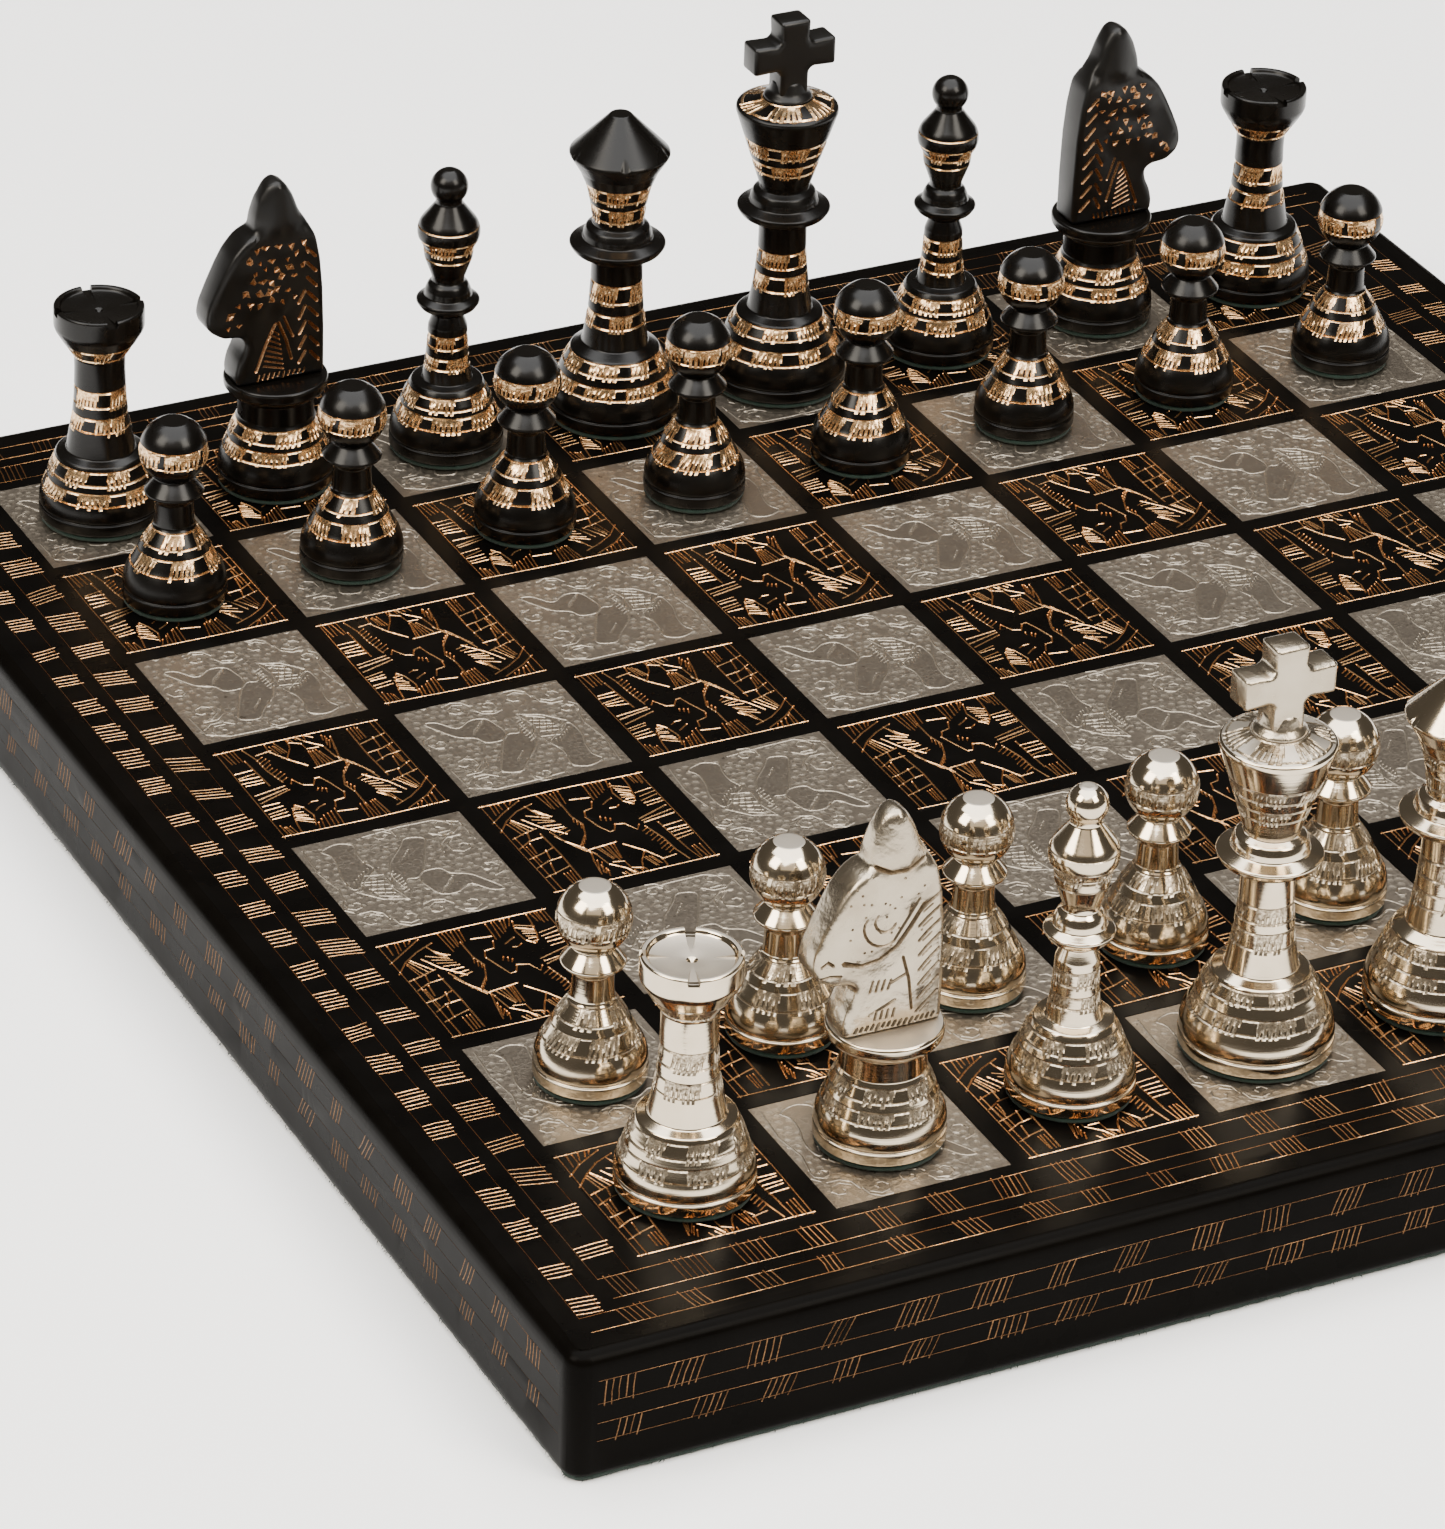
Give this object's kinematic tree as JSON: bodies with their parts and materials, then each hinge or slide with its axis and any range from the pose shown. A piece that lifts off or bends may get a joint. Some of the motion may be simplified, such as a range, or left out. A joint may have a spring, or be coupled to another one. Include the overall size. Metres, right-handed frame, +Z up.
{
  "type": "chess set with board",
  "caption": "Square board of inlaid light and dark squares, set with turned metal chess men in two colours that lift off.",
  "frame": {"origin": "centre of the board's underside, where its base felt rests", "axes": "+X from file a to file h, +Y from the light side to the dark side, +Z up"},
  "size_m": [0.3048, 0.3048, 0.0951],
  "materials": {
    "dark_lacquer": "gloss black lacquer on brass, cut through to bright metal in rings and hatching",
    "light_nickel": "polished warm nickel on brass",
    "board_lacquer": "satin black lacquer on brass sheet",
    "nickel_square": "satin nickel, finely etched",
    "engraved_square": "black lacquer engraved through to copper-gold metal",
    "green_felt": "felt",
    "wood_core": "raw fibreboard"
  },
  "bodies": {
    "board": {"wood_core": "wood_core", "top_plate": "board_lacquer", "edge_band": "board_lacquer", "light_squares": "nickel_square", "dark_squares": "engraved_square", "base_felt": "green_felt"},
    "light_rook_a1": {"light_rook_a1": "light_nickel", "light_rook_a1_felt": "green_felt"},
    "light_knight_b1": {"light_knight_b1": "light_nickel", "light_knight_b1_felt": "green_felt", "light_knight_b1_head": "light_nickel"},
    "light_bishop_c1": {"light_bishop_c1": "light_nickel", "light_bishop_c1_felt": "green_felt"},
    "light_king_d1": {"light_king_d1": "light_nickel", "light_king_d1_felt": "green_felt", "light_king_cross": "light_nickel"},
    "light_queen_e1": {"light_queen_e1": "light_nickel", "light_queen_e1_felt": "green_felt"},
    "light_bishop_f1": {"light_bishop_f1": "light_nickel", "light_bishop_f1_felt": "green_felt"},
    "light_knight_g1": {"light_knight_g1": "light_nickel", "light_knight_g1_felt": "green_felt", "light_knight_g1_head": "light_nickel"},
    "light_rook_h1": {"light_rook_h1": "light_nickel", "light_rook_h1_felt": "green_felt"},
    "light_pawn_a2": {"light_pawn_a2": "light_nickel"},
    "light_pawn_b2": {"light_pawn_b2": "light_nickel"},
    "light_pawn_c2": {"light_pawn_c2": "light_nickel"},
    "light_pawn_d2": {"light_pawn_d2": "light_nickel"},
    "light_pawn_e2": {"light_pawn_e2": "light_nickel"},
    "light_pawn_f2": {"light_pawn_f2": "light_nickel"},
    "light_pawn_g2": {"light_pawn_g2": "light_nickel"},
    "light_pawn_h2": {"light_pawn_h2": "light_nickel"},
    "dark_rook_a8": {"dark_rook_a8": "dark_lacquer", "dark_rook_a8_felt": "green_felt"},
    "dark_knight_b8": {"dark_knight_b8": "dark_lacquer", "dark_knight_b8_felt": "green_felt", "dark_knight_b8_head": "dark_lacquer"},
    "dark_bishop_c8": {"dark_bishop_c8": "dark_lacquer", "dark_bishop_c8_felt": "green_felt"},
    "dark_queen_d8": {"dark_queen_d8": "dark_lacquer", "dark_queen_d8_felt": "green_felt"},
    "dark_king_e8": {"dark_king_e8": "dark_lacquer", "dark_king_e8_felt": "green_felt", "dark_king_cross": "dark_lacquer"},
    "dark_bishop_f8": {"dark_bishop_f8": "dark_lacquer", "dark_bishop_f8_felt": "green_felt"},
    "dark_knight_g8": {"dark_knight_g8": "dark_lacquer", "dark_knight_g8_felt": "green_felt", "dark_knight_g8_head": "dark_lacquer"},
    "dark_rook_h8": {"dark_rook_h8": "dark_lacquer", "dark_rook_h8_felt": "green_felt"},
    "dark_pawn_a7": {"dark_pawn_a7": "dark_lacquer"},
    "dark_pawn_b7": {"dark_pawn_b7": "dark_lacquer"},
    "dark_pawn_c7": {"dark_pawn_c7": "dark_lacquer"},
    "dark_pawn_d7": {"dark_pawn_d7": "dark_lacquer"},
    "dark_pawn_e7": {"dark_pawn_e7": "dark_lacquer"},
    "dark_pawn_f7": {"dark_pawn_f7": "dark_lacquer"},
    "dark_pawn_g7": {"dark_pawn_g7": "dark_lacquer"},
    "dark_pawn_h7": {"dark_pawn_h7": "dark_lacquer"}
  },
  "joints": [
    {"name": "light_rook_a1_lift", "type": "slide", "parent": "board", "child": "light_rook_a1", "axis": [0, 0, 1], "range_m": [0, 0.08]},
    {"name": "light_knight_b1_lift", "type": "slide", "parent": "board", "child": "light_knight_b1", "axis": [0, 0, 1], "range_m": [0, 0.08]},
    {"name": "light_bishop_c1_lift", "type": "slide", "parent": "board", "child": "light_bishop_c1", "axis": [0, 0, 1], "range_m": [0, 0.08]},
    {"name": "light_king_d1_lift", "type": "slide", "parent": "board", "child": "light_king_d1", "axis": [0, 0, 1], "range_m": [0, 0.08]},
    {"name": "light_queen_e1_lift", "type": "slide", "parent": "board", "child": "light_queen_e1", "axis": [0, 0, 1], "range_m": [0, 0.08]},
    {"name": "light_bishop_f1_lift", "type": "slide", "parent": "board", "child": "light_bishop_f1", "axis": [0, 0, 1], "range_m": [0, 0.08]},
    {"name": "light_knight_g1_lift", "type": "slide", "parent": "board", "child": "light_knight_g1", "axis": [0, 0, 1], "range_m": [0, 0.08]},
    {"name": "light_rook_h1_lift", "type": "slide", "parent": "board", "child": "light_rook_h1", "axis": [0, 0, 1], "range_m": [0, 0.08]},
    {"name": "light_pawn_a2_lift", "type": "slide", "parent": "board", "child": "light_pawn_a2", "axis": [0, 0, 1], "range_m": [0, 0.08]},
    {"name": "light_pawn_b2_lift", "type": "slide", "parent": "board", "child": "light_pawn_b2", "axis": [0, 0, 1], "range_m": [0, 0.08]},
    {"name": "light_pawn_c2_lift", "type": "slide", "parent": "board", "child": "light_pawn_c2", "axis": [0, 0, 1], "range_m": [0, 0.08]},
    {"name": "light_pawn_d2_lift", "type": "slide", "parent": "board", "child": "light_pawn_d2", "axis": [0, 0, 1], "range_m": [0, 0.08]},
    {"name": "light_pawn_e2_lift", "type": "slide", "parent": "board", "child": "light_pawn_e2", "axis": [0, 0, 1], "range_m": [0, 0.08]},
    {"name": "light_pawn_f2_lift", "type": "slide", "parent": "board", "child": "light_pawn_f2", "axis": [0, 0, 1], "range_m": [0, 0.08]},
    {"name": "light_pawn_g2_lift", "type": "slide", "parent": "board", "child": "light_pawn_g2", "axis": [0, 0, 1], "range_m": [0, 0.08]},
    {"name": "light_pawn_h2_lift", "type": "slide", "parent": "board", "child": "light_pawn_h2", "axis": [0, 0, 1], "range_m": [0, 0.08]},
    {"name": "dark_rook_a8_lift", "type": "slide", "parent": "board", "child": "dark_rook_a8", "axis": [0, 0, 1], "range_m": [0, 0.08]},
    {"name": "dark_knight_b8_lift", "type": "slide", "parent": "board", "child": "dark_knight_b8", "axis": [0, 0, 1], "range_m": [0, 0.08]},
    {"name": "dark_bishop_c8_lift", "type": "slide", "parent": "board", "child": "dark_bishop_c8", "axis": [0, 0, 1], "range_m": [0, 0.08]},
    {"name": "dark_queen_d8_lift", "type": "slide", "parent": "board", "child": "dark_queen_d8", "axis": [0, 0, 1], "range_m": [0, 0.08]},
    {"name": "dark_king_e8_lift", "type": "slide", "parent": "board", "child": "dark_king_e8", "axis": [0, 0, 1], "range_m": [0, 0.08]},
    {"name": "dark_bishop_f8_lift", "type": "slide", "parent": "board", "child": "dark_bishop_f8", "axis": [0, 0, 1], "range_m": [0, 0.08]},
    {"name": "dark_knight_g8_lift", "type": "slide", "parent": "board", "child": "dark_knight_g8", "axis": [0, 0, 1], "range_m": [0, 0.08]},
    {"name": "dark_rook_h8_lift", "type": "slide", "parent": "board", "child": "dark_rook_h8", "axis": [0, 0, 1], "range_m": [0, 0.08]},
    {"name": "dark_pawn_a7_lift", "type": "slide", "parent": "board", "child": "dark_pawn_a7", "axis": [0, 0, 1], "range_m": [0, 0.08]},
    {"name": "dark_pawn_b7_lift", "type": "slide", "parent": "board", "child": "dark_pawn_b7", "axis": [0, 0, 1], "range_m": [0, 0.08]},
    {"name": "dark_pawn_c7_lift", "type": "slide", "parent": "board", "child": "dark_pawn_c7", "axis": [0, 0, 1], "range_m": [0, 0.08]},
    {"name": "dark_pawn_d7_lift", "type": "slide", "parent": "board", "child": "dark_pawn_d7", "axis": [0, 0, 1], "range_m": [0, 0.08]},
    {"name": "dark_pawn_e7_lift", "type": "slide", "parent": "board", "child": "dark_pawn_e7", "axis": [0, 0, 1], "range_m": [0, 0.08]},
    {"name": "dark_pawn_f7_lift", "type": "slide", "parent": "board", "child": "dark_pawn_f7", "axis": [0, 0, 1], "range_m": [0, 0.08]},
    {"name": "dark_pawn_g7_lift", "type": "slide", "parent": "board", "child": "dark_pawn_g7", "axis": [0, 0, 1], "range_m": [0, 0.08]},
    {"name": "dark_pawn_h7_lift", "type": "slide", "parent": "board", "child": "dark_pawn_h7", "axis": [0, 0, 1], "range_m": [0, 0.08]}
  ]
}
